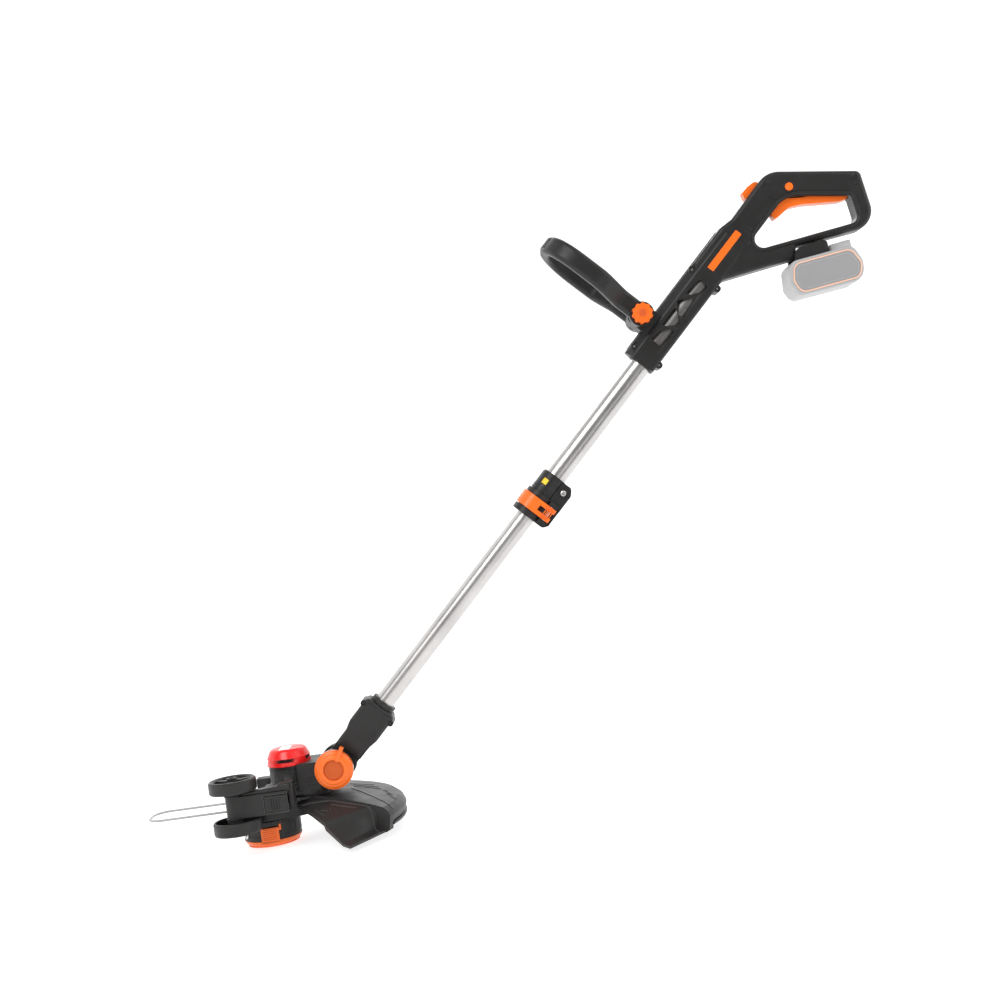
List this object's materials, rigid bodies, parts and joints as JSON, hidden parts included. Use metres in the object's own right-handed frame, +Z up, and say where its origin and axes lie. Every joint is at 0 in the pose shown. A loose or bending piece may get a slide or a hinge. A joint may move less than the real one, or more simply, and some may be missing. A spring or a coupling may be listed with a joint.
{
  "type": "cordless string trimmer and lawn edger",
  "caption": "Battery string trimmer that turns into a wheeled lawn edger: loop rear handle, telescoping shaft, tilting motor head with spool, guard and side wheels.",
  "frame": {"origin": "middle of the spool cap's underside, where the level head would rest", "axes": "+Z up along the spool's axis, +X back towards the user, +Y to the user's right; the shaft leans back at 45 degrees"},
  "size_m": [1.0319, 0.2755, 0.7718],
  "materials": {
    "shell_black": "fine moulded texture, satin",
    "head_black": "moulded, satin",
    "grip_black": "soft touch",
    "orange": "satin moulded",
    "red": "glossy moulded",
    "tube": "brushed, clear anodised",
    "steel": "zinc plated",
    "battery_grey": "pale, satin",
    "battery_plate": "pale, satin",
    "cell": "sleeved",
    "contact": "plain",
    "board": "circuit board",
    "winding": "enamelled",
    "line": "nylon"
  },
  "bodies": {
    "handle": {"handle_shell_left": "shell_black", "handle_shell_right": "shell_black", "upper_tube": "tube", "shell_screws": "steel", "trigger_pin": "steel", "trigger_spring": "steel", "switch": "shell_black", "control_board": "board", "battery_dock": "shell_black", "battery_terminals": "contact", "front_handle_bracket": "shell_black", "clamp_bolt": "steel", "lock_collar": "shell_black", "lever_pin": "steel", "collar_screw": "steel"},
    "trigger": {"trigger": "orange"},
    "lock_off_button": {"lock_off_button": "orange"},
    "feed_button": {"feed_button": "orange"},
    "battery": {"battery_case": "battery_grey", "battery_side_plates": "battery_plate", "battery_cells": "cell"},
    "battery_latch": {"battery_latch": "battery_grey"},
    "front_handle": {"front_handle": "grip_black"},
    "clamp_knob": {"clamp_knob": "orange"},
    "lock_lever": {"lock_lever": "orange"},
    "lower_shaft": {"lower_tube": "tube", "twist_collar": "head_black"},
    "neck": {"neck_shell_left": "head_black", "neck_shell_right": "head_black", "neck_screws": "steel"},
    "head": {"motor_housing": "head_black", "motor_cap": "red", "motor_can": "steel", "motor_magnets": "steel", "gear_case": "head_black", "lower_bearing": "steel", "guard": "head_black", "guard_screws": "steel", "line_cutter": "steel", "tilt_pin": "steel", "wheel_bracket": "head_black", "latch_pin": "steel", "wheel_axle": "steel"},
    "tilt_knob": {"tilt_knob": "orange"},
    "rotor": {"armature": "winding", "motor_shaft": "steel", "pinion": "steel", "cooling_fan": "shell_black"},
    "drum": {"drive_gear": "steel", "spindle": "steel", "spool_housing": "head_black", "spool_cap": "orange", "line_eyelets": "steel", "spool_spring": "steel"},
    "spool": {"spool": "head_black", "wound_line": "line"},
    "wheel_upper": {"wheel_upper": "head_black"},
    "wheel_lower": {"wheel_lower": "head_black"},
    "plant_guard": {"plant_guard": "steel"},
    "bracket_latch": {"bracket_latch": "head_black"}
  },
  "joints": [
    {"name": "trigger_pull", "type": "hinge", "parent": "handle", "child": "trigger", "pos_m": [0.84707, 0, 0.73571], "axis": [0, 1, 0], "range_deg": [0, 5], "stiffness_Nm_per_rad": 1.5, "springref_deg": -5.73},
    {"name": "lock_off_press", "type": "slide", "parent": "handle", "child": "lock_off_button", "axis": [0, 1, 0], "range_m": [0, 0.003], "stiffness_N_per_m": 600, "springref_m": -0.001},
    {"name": "feed_press", "type": "slide", "parent": "handle", "child": "feed_button", "axis": [0.7071, 0, -0.7071], "range_m": [0, 0.0025], "stiffness_N_per_m": 600, "springref_m": -0.001},
    {"name": "battery_slide", "type": "slide", "parent": "handle", "child": "battery", "axis": [0.9912, 0, 0.1323], "range_m": [0, 0.06]},
    {"name": "battery_latch_press", "type": "slide", "parent": "battery", "child": "battery_latch", "axis": [0.1323, 0, -0.9912], "range_m": [0, 0.002], "stiffness_N_per_m": 600, "springref_m": -0.001},
    {"name": "front_handle_tilt", "type": "hinge", "parent": "handle", "child": "front_handle", "pos_m": [0.56217, 0, 0.61091], "axis": [0, 1, 0], "range_deg": [-30, 40]},
    {"name": "clamp_knob_turn", "type": "hinge", "parent": "handle", "child": "clamp_knob", "pos_m": [0.56217, -0.038, 0.61091], "axis": [0, 1, 0], "continuous": true},
    {"name": "lock_lever_open", "type": "hinge", "parent": "handle", "child": "lock_lever", "pos_m": [0.40866, -0.018, 0.37367], "axis": [0.7071, 0, 0.7071], "range_deg": [0, 100]},
    {"name": "telescope", "type": "slide", "parent": "handle", "child": "lower_shaft", "axis": [-0.7071, 0, -0.7071], "range_m": [-0.12, 0.15]},
    {"name": "head_twist", "type": "hinge", "parent": "lower_shaft", "child": "neck", "pos_m": [0.16188, 0, 0.15588], "axis": [0.7071, 0, 0.7071], "range_deg": [0, 180]},
    {"name": "head_tilt", "type": "hinge", "parent": "neck", "child": "head", "pos_m": [0.094, 0, 0.088], "axis": [0, 1, 0], "range_deg": [-20, 45]},
    {"name": "tilt_knob_turn", "type": "hinge", "parent": "head", "child": "tilt_knob", "pos_m": [0.094, -0.036, 0.088], "axis": [0, 1, 0], "range_deg": [0, 45]},
    {"name": "motor_spin", "type": "hinge", "parent": "head", "child": "rotor", "pos_m": [0.033, 0, 0.08], "axis": [0, 0, 1], "continuous": true},
    {"name": "spool_spin", "type": "hinge", "parent": "head", "child": "drum", "pos_m": [0, 0, 0.03], "axis": [0, 0, 1], "continuous": true},
    {"name": "line_feed", "type": "hinge", "parent": "drum", "child": "spool", "pos_m": [0, 0, 0.015], "axis": [0, 0, 1], "continuous": true},
    {"name": "upper_wheel_spin", "type": "hinge", "parent": "head", "child": "wheel_upper", "pos_m": [-0.031, -0.062, 0.09], "axis": [0, 0, 1], "continuous": true},
    {"name": "lower_wheel_spin", "type": "hinge", "parent": "head", "child": "wheel_lower", "pos_m": [-0.031, -0.062, 0.04], "axis": [0, 0, 1], "continuous": true},
    {"name": "plant_guard_fold", "type": "hinge", "parent": "head", "child": "plant_guard", "pos_m": [-0.04, 0, 0.052], "axis": [0, 1, 0], "range_deg": [0, 95]},
    {"name": "bracket_latch_press", "type": "hinge", "parent": "head", "child": "bracket_latch", "pos_m": [0.0335, -0.0696, 0.063], "axis": [0, 0, -1], "range_deg": [0, 4], "stiffness_Nm_per_rad": 0.5, "springref_deg": -5.73}
  ],
  "couplings": [
    {"joint": "motor_spin", "follows": "spool_spin", "ratio": -3.7143}
  ]
}
